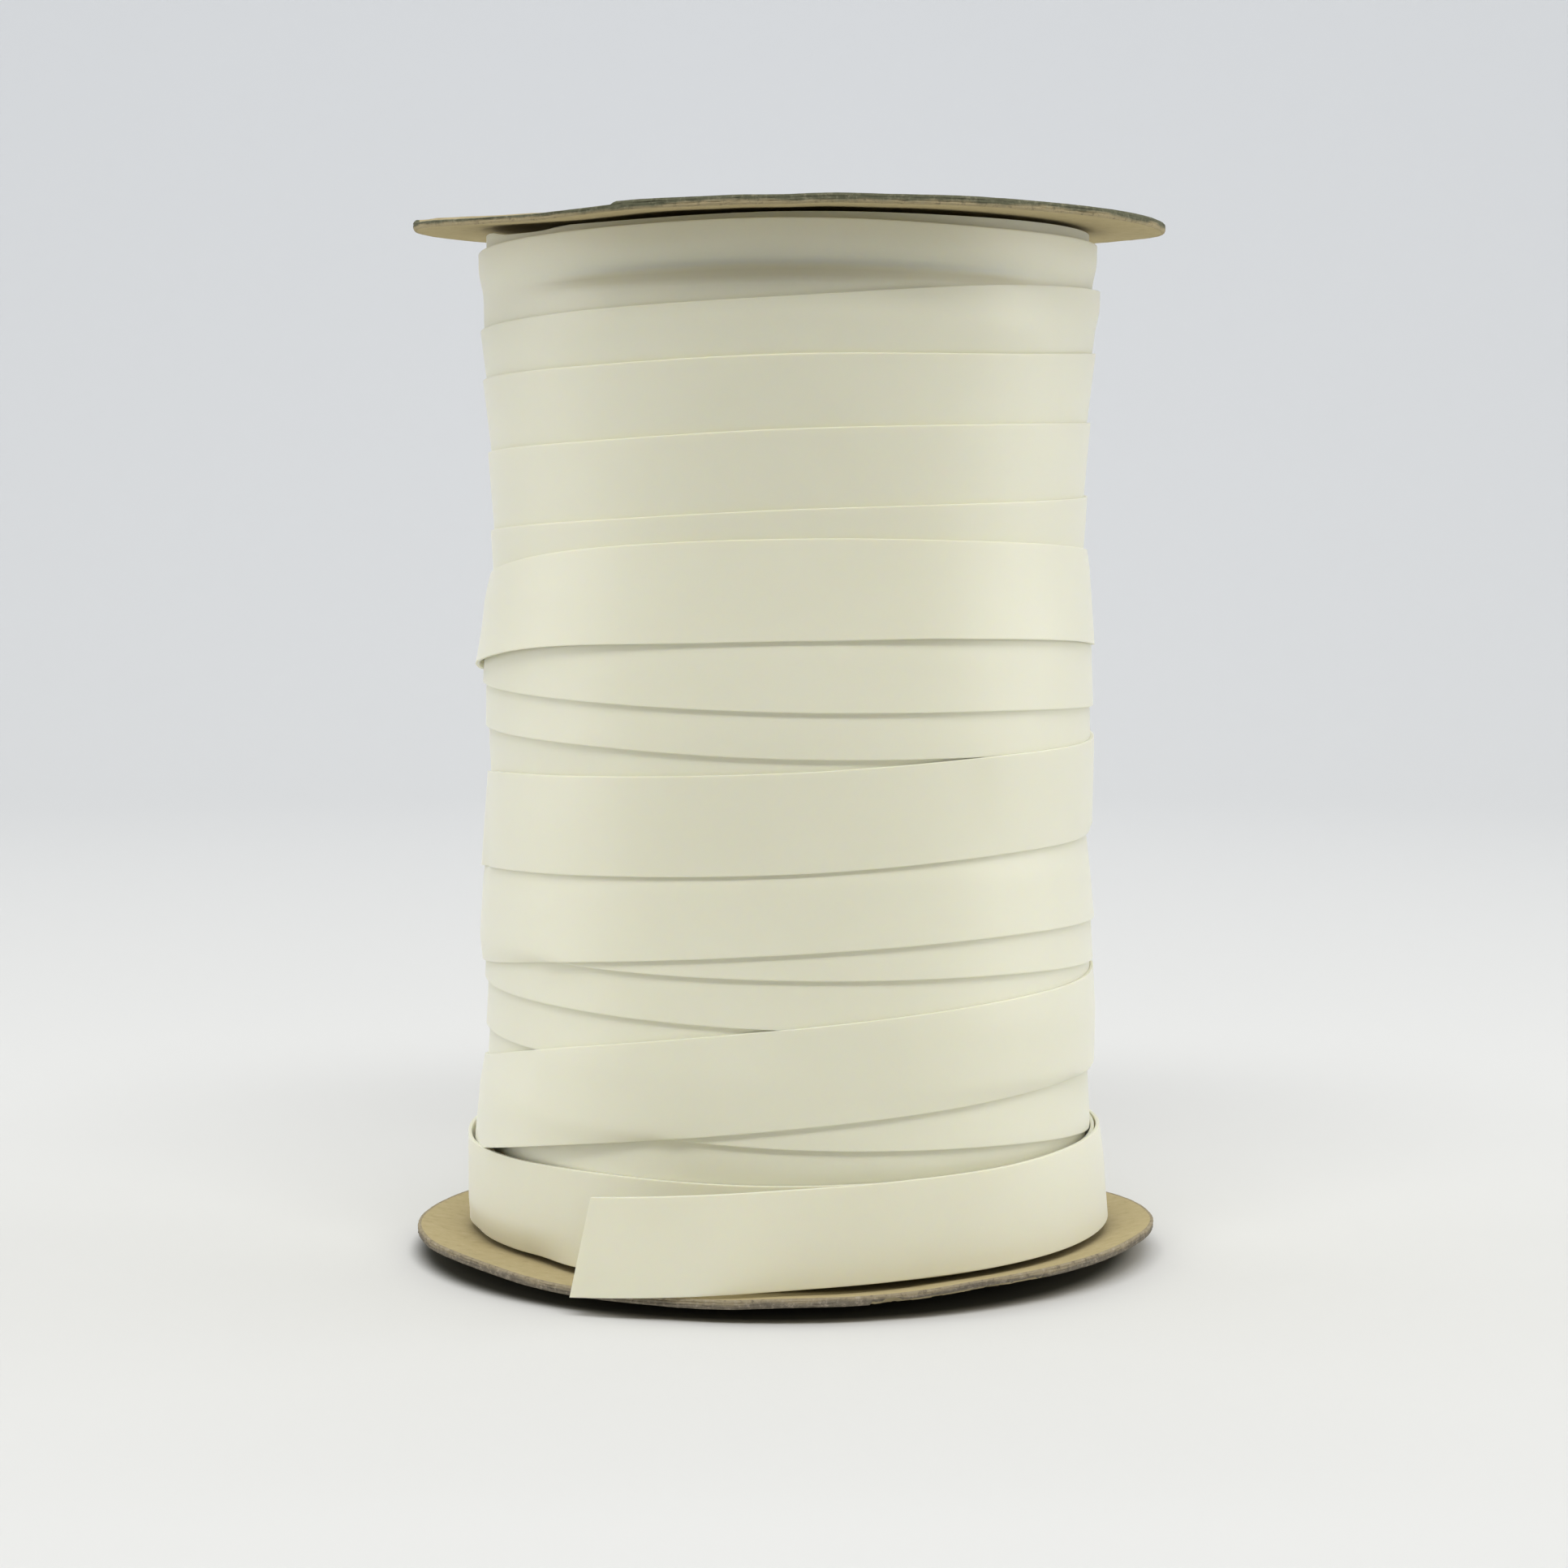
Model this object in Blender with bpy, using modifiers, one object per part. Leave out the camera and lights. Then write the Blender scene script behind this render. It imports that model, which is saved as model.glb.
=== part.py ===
"""Roll of vinyl binding tape, wound between two round kraft board discs.

The roll stands on one disc. The narrow tape was traversed up and down while the roll turned, so
its last turns cross the drum at a slant and overlap like shingles. The very last turns are loose.
Metres, +Z up along the roll's axis, with the origin on the floor under the axis. Looking along
+Y, azimuth 0 is the front of the roll and azimuth +90 is its right side.
"""

import math
from collections import namedtuple

import bmesh
import bpy
import numpy as np

MM = 0.001

# Board discs
DISC_RADIUS = 76.2 * MM
BOARD = 1.8 * MM
FOOT_RADIUS = 36.0 * MM
RIM_LIFT = 3.2 * MM
TOP_BOW = 1.4 * MM
DISC_STEPS = 64

# Height of the whole roll, at the rim of the top disc
RIM_TOP = 210.9 * MM

# Tape
TAPE_WIDTH = 19.3 * MM
TAPE_THICKNESS = 0.75 * MM
SHEET_THICKNESS = 1.0 * MM
GAP = 0.3 * MM

# The winding under its outermost layer: its radius at heights above the floor, both in mm
Wound = namedtuple("Wound", "height radius")
INNER_WINDING = (
    Wound(4.0, 59.2),
    Wound(130.0, 59.4),
    Wound(150.0, 59.8),
    Wound(165.0, 59.9),
    Wound(178.0, 60.4),
    Wound(190.0, 61.0),
    Wound(207.3, 62.0),
)
SHOULDER = 4.0 * MM
BRIDGE = 2.0 * MM

# Faces of the wound form: columns round it, and rows that crowd together at the turns' edges
WINDING_COLUMNS = 60
WINDING_ROWS = 80
FINE_STEP = 0.5 * MM
CROWD_REACH = 1.0 * MM
CROWDING = 16.0

# Faces of a disc along its radius, from the foot to the rim
DISC_RINGS = 5

# Where the tape's lower edge crosses the drum, turn by turn in the order of winding, in mm above
# the floor. The tape runs from the right side across the front to the left, and on round the back.
STATION_AZIMUTHS = (80, 40, 0, -40, -80)
Turn = namedtuple("Turn", "right right_front front left_front left")
TURNS_DOWN = (
    Turn(192.0, 191.5, 191.0, 190.0, 189.0),
    Turn(186.5, 187.2, 188.2, 186.8, 185.0),
    Turn(177.4, 176.3, 173.3, 171.3, 169.3),
    Turn(164.7, 163.3, 162.7, 160.8, 159.5),
    Turn(150.6, 149.9, 148.7, 146.6, 144.8),
    Turn(135.7, 134.7, 133.5, 131.3, 129.1),
)
COVERED_TURNS_DOWN = 9
PITCH_DOWN = 14.2
LOWEST_EDGE = 5.0
TURNS_UP = (
    Turn(12.0, 15.0, 18.0, 20.0, 22.5),
    Turn(26.0, 29.0, 31.0, 33.5, 35.5),
    Turn(38.0, 41.0, 44.0, 46.0, 47.3),
    Turn(50.5, 52.5, 54.4, 55.9, 57.0),
    Turn(60.7, 62.6, 63.5, 64.4, 65.5),
    Turn(69.5, 70.0, 68.5, 65.3, 61.0),
    Turn(88.0, 90.0, 92.0, 94.5, 97.0),
    Turn(105.0, 105.2, 105.8, 107.5, 109.0),
    Turn(112.6, 114.1, 114.8, 116.2, 117.4),
    Turn(125.6, 127.9, 128.3, 126.8, 121.8),
    Turn(86.2, 85.6, 83.6, 82.2, 80.4),
    Turn(39.5, 37.7, 34.5, 29.2, 22.3),
)
# Height of the lower edge at the back, where the loose turns begin, and how many degrees short
# of it the wound form ends
BACK_END = 13.5
CUT_BACK = 8.0

# The loose turns, from where they leave the winding at the back: degrees turned since the back,
# height of the lower edge and radius of the inner face, in mm
Loose = namedtuple("Loose", "turned height radius")
LOOSE_STATIONS = (
    Loose(6, 13.2, 62.7),
    Loose(50, 9.0, 62.8),
    Loose(100, 6.5, 63.0),
    Loose(180, 5.2, 63.2),
    Loose(220, 5.2, 63.9),
    Loose(260, 6.3, 64.7),
    Loose(310, 6.8, 64.9),
    Loose(360, 7.0, 64.9),
    Loose(410, 7.2, 64.7),
    Loose(460, 7.1, 64.6),
    Loose(500, 6.2, 65.2),
    Loose(520, 5.8, 66.8),
    Loose(540, 5.6, 70.8),
    Loose(553, 5.5, 76.2),
    Loose(570, 4.1, 80.8),
)
LOOSE_STEP = 6.0
LOOSE_ROWS = 3

# The slanting cut: degrees that the upper corner stops short of the lower one, and the share of
# the loose length over which the columns lean into it
CUT_LEAN = 3.1
CUT_REACH = 0.1

VINYL = (0.68, 0.66, 0.50, 1.0)
KRAFT = (0.47, 0.37, 0.23, 1.0)


def clear_scene() -> None:
    for obj in list(bpy.data.objects):
        bpy.data.objects.remove(obj, do_unlink=True)


def collection(name: str):
    made = bpy.data.collections.new(name)
    bpy.context.scene.collection.children.link(made)
    return made


def finish(name: str, colour, roughness: float):
    material = bpy.data.materials.new(name)
    material.use_nodes = True
    shader = material.node_tree.nodes["Principled BSDF"]
    shader.inputs["Base Color"].default_value = colour
    shader.inputs["Roughness"].default_value = roughness
    shader.inputs["Metallic"].default_value = 0.0
    material.diffuse_color = colour
    return material


def add_mesh(name: str, mesh, material, group):
    obj = bpy.data.objects.new(name, mesh)
    mesh.materials.append(material)
    mesh.shade_smooth()
    mesh.set_sharp_from_angle(angle=math.radians(40))
    group.objects.link(obj)
    return obj


def dish(radius, rise: float):
    """How far a disc has bent away from flat at a radius: none over its foot, all of it at the rim."""
    share = np.clip((radius - FOOT_RADIUS) / (DISC_RADIUS - FOOT_RADIUS), 0.0, 1.0)
    return rise * share**2


def disc_bottom_face(radius):
    """Height of the bottom disc's upper face."""
    return BOARD + dish(radius, RIM_LIFT)


def disc_top_face(radius):
    """Height of the top disc's lower face. Its middle bows upwards, so its rim is lowest."""
    return RIM_TOP - BOARD + dish(DISC_RADIUS, TOP_BOW) - dish(radius, TOP_BOW)


def smooth_through(places, values, at):
    """A smooth curve through values at rising places, read at other places."""
    places = np.asarray(places, float)
    values = np.asarray(values, float)
    at = np.asarray(at, float)
    slopes = np.gradient(values, places)
    k = np.clip(np.searchsorted(places, at, side="right") - 1, 0, len(places) - 2)
    span = places[k + 1] - places[k]
    t = (at - places[k]) / span
    start = (1 + 2 * t) * (1 - t) ** 2 * values[k] + t * (1 - t) ** 2 * span * slopes[k]
    end = t**2 * (3 - 2 * t) * values[k + 1] + t**2 * (t - 1) * span * slopes[k + 1]
    return start + end


def point(azimuth: float, radius: float, height: float):
    return (radius * math.sin(azimuth), -radius * math.cos(azimuth), height)


def make_disc(name: str, face_height, thickness: float, material, group):
    """A die cut disc as a turned profile. face_height gives the face against the winding and
    thickness the board on its outer side: negative for a board that lies below that face."""
    radii = np.concatenate([[0.0], np.linspace(FOOT_RADIUS, DISC_RADIUS, DISC_RINGS)])
    near = [(r, face_height(r)) for r in radii]
    far = [(r, z + thickness) for r, z in near]
    upper, lower = (near, far) if thickness < 0 else (far, near)
    profile = upper + lower[::-1]
    mesh = bpy.data.meshes.new(name)
    build = bmesh.new()
    rim = [build.verts.new((r, 0.0, z)) for r, z in profile]
    for first, second in zip(rim, rim[1:]):
        build.edges.new((first, second))
    build.to_mesh(mesh)
    build.free()
    obj = add_mesh(name, mesh, material, group)
    screw = obj.modifiers.new("turned", "SCREW")
    screw.steps = DISC_STEPS
    screw.render_steps = DISC_STEPS
    screw.use_merge_vertices = True
    screw.merge_threshold = 0.00001
    screw.use_smooth_shade = True
    return obj


def smoothed(heights, reach: float):
    """The surface averaged over a short reach along the axis."""
    span = int(round(reach / FINE_STEP))
    padded = np.pad(heights, span, mode="edge")
    kernel = np.hanning(2 * span + 3)[1:-1]
    return np.convolve(padded, kernel / kernel.sum(), mode="valid")


def outer_turns():
    """The outermost layer's turns in the order of winding, with those that later turns cover."""
    covered = [
        Turn(*(max(height - PITCH_DOWN * n, LOWEST_EDGE) for height in TURNS_DOWN[-1]))
        for n in range(1, COVERED_TURNS_DOWN + 1)
    ]
    return [*TURNS_DOWN, *covered, *TURNS_UP]


def wound_surface(z):
    """Radius of the winding over azimuth columns and heights z, with its turns laid in order. A
    turn bridges the steps of those under it. The first one grows to its thickness as it starts."""
    knots = np.array(INNER_WINDING) * MM
    inner = smooth_through(knots[:, 0], knots[:, 1], z)
    radius = np.tile(inner, (WINDING_COLUMNS, 1))
    turns = outer_turns()
    first = STATION_AZIMUTHS[0]
    places = [360 * n + first - azimuth for n in range(len(turns)) for azimuth in STATION_AZIMUTHS]
    heights = [height for turn in turns for height in turn]
    places.append(places[-1] + 100)
    heights.append(BACK_END)
    column_step = 360 / WINDING_COLUMNS
    passes = np.arange(0, places[-1] - CUT_BACK, column_step)
    lower_edges = smooth_through(places, heights, passes) * MM
    for turned, lower in zip(passes, lower_edges):
        column = int(round(turned / column_step)) % WINDING_COLUMNS
        under = radius[column]
        covered = (z >= lower) & (z <= lower + TAPE_WIDTH)
        thickness = TAPE_THICKNESS * min(1.0, turned / 360)
        laid = np.maximum(smoothed(under, BRIDGE), under) + thickness
        under[covered] = laid[covered]
    return radius


def rows_at_steps(z, radius):
    """Heights for a column's rows, closer together where one turn's edge steps to the next."""
    weight = FINE_STEP + CROWDING * np.abs(np.diff(smoothed(radius, CROWD_REACH)))
    travelled = np.concatenate([[0.0], np.cumsum(weight)])
    return np.interp(np.linspace(0, travelled[-1], WINDING_ROWS), travelled, z)


def make_winding(material, group):
    """The wound drum: a loft of rows that follow the edges of its turns, closed over both ends."""
    low = float(disc_bottom_face(INNER_WINDING[0].radius * MM)) + 2 * GAP
    high = INNER_WINDING[-1].height * MM
    z = np.linspace(low, high, int((high - low) / FINE_STEP) + 1)
    surface = wound_surface(z)
    azimuths = np.radians(STATION_AZIMUTHS[0] - np.arange(WINDING_COLUMNS) * 360 / WINDING_COLUMNS)
    build = bmesh.new()
    rings = []
    end_radii = (FOOT_RADIUS, (INNER_WINDING[0].radius * MM - SHOULDER))
    for r in end_radii:
        height = float(disc_bottom_face(r)) + GAP
        rings.append([build.verts.new(point(a, r, height)) for a in azimuths])
    columns = []
    for azimuth, radii in zip(azimuths, surface):
        heights = rows_at_steps(z, radii)
        at = np.interp(heights, z, radii)
        columns.append([build.verts.new(point(azimuth, r, h)) for r, h in zip(at, heights)])
    rings.extend(zip(*columns))
    for r in end_radii[::-1]:
        height = float(disc_top_face(r)) - GAP
        rings.append([build.verts.new(point(a, r, height)) for a in azimuths])
    for lower, upper in zip(rings, rings[1:]):
        for i in range(WINDING_COLUMNS):
            j = (i + 1) % WINDING_COLUMNS
            build.faces.new((lower[i], upper[i], upper[j], lower[j]))
    bottom = build.verts.new((0.0, 0.0, BOARD + GAP))
    top = build.verts.new((0.0, 0.0, float(disc_top_face(0.0)) - GAP))
    for i in range(WINDING_COLUMNS):
        j = (i + 1) % WINDING_COLUMNS
        build.faces.new((bottom, rings[0][i], rings[0][j]))
        build.faces.new((top, rings[-1][j], rings[-1][i]))
    bmesh.ops.recalc_face_normals(build, faces=build.faces)
    mesh = bpy.data.meshes.new("winding")
    build.to_mesh(mesh)
    build.free()
    return add_mesh("winding", mesh, material, group)


def make_loose_end(material, group):
    """The last turn and a half, standing off the winding: an open band made thick outwards. Its
    end springs out past the rim of the bottom disc and was cut off at a slant."""
    turned = [station.turned for station in LOOSE_STATIONS]
    heights = [station.height * MM for station in LOOSE_STATIONS]
    radii = [station.radius * MM for station in LOOSE_STATIONS]
    count = int(math.ceil((turned[-1] - turned[0]) / LOOSE_STEP))
    build = bmesh.new()
    columns = []
    for i in range(count + 1):
        share = i / count
        column = []
        for row in range(LOOSE_ROWS):
            up = row / (LOOSE_ROWS - 1)
            lean = CUT_LEAN * up * max(0.0, 1 - (1 - share) / CUT_REACH)
            at = turned[0] + share * (turned[-1] - turned[0]) - lean
            height = float(smooth_through(turned, heights, at)) + up * TAPE_WIDTH
            radius = float(smooth_through(turned, radii, at))
            column.append(build.verts.new(point(math.radians(180 - at), radius, height)))
        columns.append(column)
    for left, right in zip(columns, columns[1:]):
        for lower in range(LOOSE_ROWS - 1):
            upper = lower + 1
            build.faces.new((left[lower], left[upper], right[upper], right[lower]))
    mesh = bpy.data.meshes.new("loose_end")
    build.to_mesh(mesh)
    build.free()
    obj = add_mesh("loose_end", mesh, material, group)
    solid = obj.modifiers.new("thickness", "SOLIDIFY")
    solid.thickness = SHEET_THICKNESS
    solid.offset = 1.0
    return obj


def main() -> None:
    clear_scene()
    roll = collection("binding_roll")
    kraft_below = finish("kraft board below", KRAFT, 0.85)
    kraft_above = finish("kraft board above", KRAFT, 0.85)
    wound_vinyl = finish("wound vinyl", VINYL, 0.5)
    loose_vinyl = finish("loose vinyl", VINYL, 0.5)
    make_disc("flange_bottom", disc_bottom_face, -BOARD, kraft_below, roll)
    make_disc("flange_top", disc_top_face, BOARD, kraft_above, roll)
    make_winding(wound_vinyl, roll)
    make_loose_end(loose_vinyl, roll)


main()
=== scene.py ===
"""Looks of a roll of vinyl binding tape, wound between two round kraft board discs.

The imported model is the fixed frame. Here the tape is laid turn by turn as a real strip, so that a
turn lies on the edges of those under it, and the discs get their warp, torn plies and rough rims.
Metres, +Z up along the roll's axis. Azimuth 0 is the front of the roll and +90 its right side.
"""

import logging
import math
from dataclasses import dataclass
from enum import Enum
from typing import NamedTuple, Sequence

import bpy
import numpy as np
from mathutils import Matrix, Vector


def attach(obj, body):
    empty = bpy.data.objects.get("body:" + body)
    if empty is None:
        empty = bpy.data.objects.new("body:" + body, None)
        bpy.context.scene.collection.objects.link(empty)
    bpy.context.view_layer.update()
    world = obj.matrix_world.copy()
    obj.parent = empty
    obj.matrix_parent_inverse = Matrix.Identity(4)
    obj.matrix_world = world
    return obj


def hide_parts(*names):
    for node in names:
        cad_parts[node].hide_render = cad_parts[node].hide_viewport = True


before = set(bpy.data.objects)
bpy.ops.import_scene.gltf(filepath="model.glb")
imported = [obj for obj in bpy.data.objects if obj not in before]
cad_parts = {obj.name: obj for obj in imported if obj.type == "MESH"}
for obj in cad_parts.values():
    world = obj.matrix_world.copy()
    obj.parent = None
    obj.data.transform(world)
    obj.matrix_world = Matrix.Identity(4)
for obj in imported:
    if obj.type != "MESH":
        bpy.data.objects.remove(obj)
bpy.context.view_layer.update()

MM = 0.001
LOG = logging.getLogger("binding_roll")
Colour = tuple[float, float, float, float]
Place = tuple[float, float, float]
Effect = bpy.types.ShaderNodeTree
Material = bpy.types.Material
Node = bpy.types.Node

DISC_RADIUS = 76.2 * MM
BOARD = 1.8 * MM
RIM_TOP = 210.9 * MM
TAPE_WIDTH = 19.3 * MM
TAPE_THICKNESS = 0.75 * MM

# The roll has slipped this far to the right on its bottom disc
SLIP = 0.6 * MM


class Slot(Enum):
    """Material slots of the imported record."""

    VINYL = "vinyl_tape"
    BOARD = "kraft_board"


class Edge(Enum):
    """The long edges of the tape."""

    LOWER = "lower"
    UPPER = "upper"


class Side(Enum):
    """Which side of the winding a disc is on, as the direction of its outer face."""

    BELOW = -1
    ABOVE = 1


class Knot(NamedTuple):
    """A value in mm at a place, which is a height, a radius or an azimuth."""

    place: float
    value: float


def knots(*pairs: tuple[float, float]) -> tuple[Knot, ...]:
    """Makes knots from pairs of a place and a value."""
    return tuple(Knot(*pair) for pair in pairs)


class Turn(NamedTuple):
    """Heights in mm of the tape's lower edge where one turn crosses the five stations."""

    right: float
    right_front: float
    front: float
    left_front: float
    left: float


class Flare(NamedTuple):
    """A stretch of a tape edge that stands off or is tucked in, in degrees and mm.

    It runs from one azimuth down to another on one turn, and fades out beyond both. It carries the
    edge out and draws it in over the width: all of it up to its hold, then less up to its span.
    """

    edge: Edge
    turn: int
    start: float
    end: float
    fade: float
    out: float
    drawn_in: float
    span: float
    power: float = 1.2
    hold: float = 0.0

    def share(self, turned: float, first: float) -> float:
        """How far it has risen at a place on the tape.

        Args:
            turned: Degrees turned there.
            first: Azimuth where the tape begins.

        Returns:
            0 where there is no flare, and 1 where it is full.
        """
        begin = 360 * self.turn + first - self.start
        finish = 360 * self.turn + first - self.end
        reached = min(turned - begin, finish - turned) / self.fade + 1
        t = min(max(reached, 0.0), 1.0)
        return t * t * (3 - 2 * t)


class Loose(NamedTuple):
    """A station of the loose turns: degrees turned, lower edge and radius of the inner face."""

    turned: float
    height: float
    radius: float


class Tear(NamedTuple):
    """Where a disc's outer ply is torn off at the rim: azimuths, and in mm how deep and how far in."""

    start: float
    end: float
    depth: float
    reach_at_start: float
    reach_at_end: float


def smooth_through(places: Sequence[float], values: Sequence[float], at: np.ndarray) -> np.ndarray:
    """Reads a smooth curve through values at rising places.

    Args:
        places: Where the values are known, rising.
        values: The known values.
        at: Where the curve is read.

    Returns:
        The curve's value at each of those places.
    """
    places = np.asarray(places, float)
    values = np.asarray(values, float)
    at = np.clip(np.asarray(at, float), places[0], places[-1])
    slopes = np.gradient(values, places)
    k = np.clip(np.searchsorted(places, at, side="right") - 1, 0, len(places) - 2)
    span = places[k + 1] - places[k]
    t = (at - places[k]) / span
    start = (1 + 2 * t) * (1 - t) ** 2 * values[k] + t * (1 - t) ** 2 * span * slopes[k]
    end = t**2 * (3 - 2 * t) * values[k + 1] + t**2 * (t - 1) * span * slopes[k + 1]
    return start + end


def through_knots(knots: Sequence[Knot], at: np.ndarray) -> np.ndarray:
    """Reads a smooth curve through knots, whose values are in mm, and gives it in metres."""
    places, values = zip(*knots)
    return smooth_through(places, values, at) * MM


def round_knots(knots: Sequence[Knot], azimuths: np.ndarray) -> np.ndarray:
    """Reads a smooth closed curve through knots at azimuths, and gives it in metres.

    Args:
        knots: Values in mm at rising azimuths within one turn.
        azimuths: Where it is read, in degrees.

    Returns:
        The value at each azimuth.
    """
    places, values = (np.array(column, float) for column in zip(*knots))
    turns = np.concatenate([places - 360, places, places + 360])
    wrapped = (np.asarray(azimuths, float) + 180) % 360 - 180
    return smooth_through(turns, np.tile(values, 3), wrapped) * MM


def on_axis(azimuths: np.ndarray, radii: np.ndarray, heights: np.ndarray, slip: float) -> np.ndarray:
    """Turns places round the roll into points.

    Args:
        azimuths: Degrees from the front.
        radii: Distances from the axis.
        heights: Heights above the floor.
        slip: How far the axis has slipped to the right.

    Returns:
        The points, with the coordinates as the last direction of the array.
    """
    angle = np.radians(azimuths)
    parts = np.broadcast_arrays(radii * np.sin(angle) + slip, -radii * np.cos(angle), heights)
    return np.stack(parts, axis=-1)


def azimuths_round(columns: int) -> np.ndarray:
    """Evenly spaced azimuths in degrees, one in each row."""
    return (np.arange(columns) * 360 / columns)[:, None]


def lengths_along(line: np.ndarray, closed: bool = False) -> np.ndarray:
    """Measures a line of points.

    Args:
        line: The points.
        closed: Whether the last point joins the first.

    Returns:
        The distance travelled at each point, and also back at the first where it is closed.
    """
    if closed:
        line = np.vstack([line, line[:1]])
    steps = np.linalg.norm(np.diff(line, axis=0), axis=1)
    return np.concatenate([[0.0], np.cumsum(steps)])


@dataclass
class Loft:
    """A grid of points joined to a surface, with its true lengths as a UV map named tape."""

    points: np.ndarray
    lengths: np.ndarray
    widths: np.ndarray
    closed_along: bool = False
    strips: Sequence[int] = ()
    sharp: float = 50.0

    def mesh(self, name: str) -> bpy.types.Mesh:
        """Builds the mesh. Sections are closed rings, and open ends get a cap.

        Args:
            name: Name of the mesh.

        Returns:
            The mesh, smooth shaded but for its sharp edges.
        """
        along, across, _ = self.points.shape
        spans = along if self.closed_along else along - 1
        i, j = np.meshgrid(np.arange(spans), np.arange(across), indexing="ij")
        i2, j2 = (i + 1) % along, (j + 1) % across
        quads = np.stack([i * across + j, i2 * across + j, i2 * across + j2, i * across + j2], axis=-1)
        faces = quads.reshape(-1, 4).tolist()
        u = np.stack([self.lengths[i], self.lengths[i + 1], self.lengths[i + 1], self.lengths[i]], axis=-1)
        v = np.stack([self.widths[j], self.widths[j], self.widths[j + 1], self.widths[j + 1]], axis=-1)
        corners = np.stack([u, v], axis=-1).reshape(-1, 2)
        if not self.closed_along:
            faces.append(list(range(across)))
            faces.append(list(range(along * across - 1, (along - 1) * across - 1, -1)))
            corners = np.vstack([corners, np.zeros((2 * across, 2))])
        mesh = bpy.data.meshes.new(name)
        mesh.from_pydata(self.points.reshape(-1, 3).tolist(), [], faces)
        layer = mesh.uv_layers.new(name="tape")
        layer.data.foreach_set("uv", corners.astype(np.float32).ravel())
        if len(self.strips):
            indices = np.tile(np.asarray(self.strips), spans)
            indices = np.concatenate([indices, np.zeros(len(faces) - len(indices), int)])
            mesh.polygons.foreach_set("material_index", indices.astype(np.int32))
        mesh.validate()
        mesh.shade_smooth()
        mesh.set_sharp_from_angle(angle=math.radians(self.sharp))
        return mesh


def place_piece(
    name: str,
    mesh: bpy.types.Mesh,
    materials: Sequence[Material],
    node: str,
) -> bpy.types.Object:
    """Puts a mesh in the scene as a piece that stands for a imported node.

    Args:
        name: Name of the piece.
        mesh: Its mesh, in place.
        materials: Its finishes, in the order of the mesh's material indices.
        node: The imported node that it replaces.

    Returns:
        The piece.
    """
    piece = bpy.data.objects.new(name, mesh)
    indices = np.zeros(len(mesh.polygons), np.int32)
    mesh.polygons.foreach_get("material_index", indices)
    for material in materials:
        mesh.materials.append(material)
    mesh.polygons.foreach_set("material_index", indices)
    bpy.context.scene.collection.objects.link(piece)
    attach(piece, "root")
    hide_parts(node)
    triangles = sum(len(face.vertices) - 2 for face in mesh.polygons)
    LOG.info("%s: %d triangles, replaces %s", name, triangles, node)
    return piece


@dataclass(frozen=True)
class TapeSection:
    """The tape cut across: a flat strip with slightly rounded corners."""

    width: float = TAPE_WIDTH
    thickness: float = TAPE_THICKNESS
    corner: float = 0.08 * MM
    easing: float = 0.3
    support: float = 0.30 * MM
    outer_points: int = 15
    inner_points: int = 5

    def outline(self) -> tuple[np.ndarray, np.ndarray]:
        """Goes round the section from its lower inner corner up the outer face.

        Returns:
            Heights above the lower edge, and depths above the inner face.
        """
        c, w, t = self.corner, self.width, self.thickness
        eased = self.easing * c
        middle = np.linspace(c + self.support, w - c - self.support, self.outer_points)
        inner = np.linspace(w - c, c, self.inner_points)
        up = [0, eased, c, *middle, w - c, w - eased, w, w, *inner, 0]
        outer = [t] * (len(middle) + 2)
        deep = [t - c, t - eased, *outer, t - eased, t - c, c, *([0.0] * len(inner)), c]
        return np.array(up), np.array(deep)

    @staticmethod
    def travelled(up: np.ndarray, deep: np.ndarray) -> np.ndarray:
        """Distance travelled round the section at each of its points and back at the first."""
        steps = np.hypot(np.diff(up, append=up[0]), np.diff(deep, append=deep[0]))
        return np.concatenate([[0.0], np.cumsum(steps)])


def flare_offsets(
    flares: Sequence[Flare], turned: float, first: float, up: np.ndarray, width: float
) -> tuple[np.ndarray, np.ndarray]:
    """Works out how far the flares carry the points of a section outwards and upwards.

    Args:
        flares: The flares of this tape.
        turned: Degrees turned at the section.
        first: Azimuth where the tape begins.
        up: Heights above the lower edge.
        width: Width of the tape.

    Returns:
        Offsets away from the axis and along it, for each height.
    """
    out = np.zeros_like(up)
    along = np.zeros_like(up)
    for flare in flares:
        share = flare.share(turned, first)
        if share == 0:
            continue
        lower = flare.edge is Edge.LOWER
        from_edge = up if lower else width - up
        inwards = np.clip((flare.span - from_edge / MM) / (flare.span - flare.hold), 0, 1)
        weight = inwards**flare.power
        if flare.hold:
            weight = inwards * inwards * (3 - 2 * inwards)
        out += flare.out * MM * share * weight
        along += flare.drawn_in * MM * share * weight * (1 if lower else -1)
    return out, along


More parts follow.
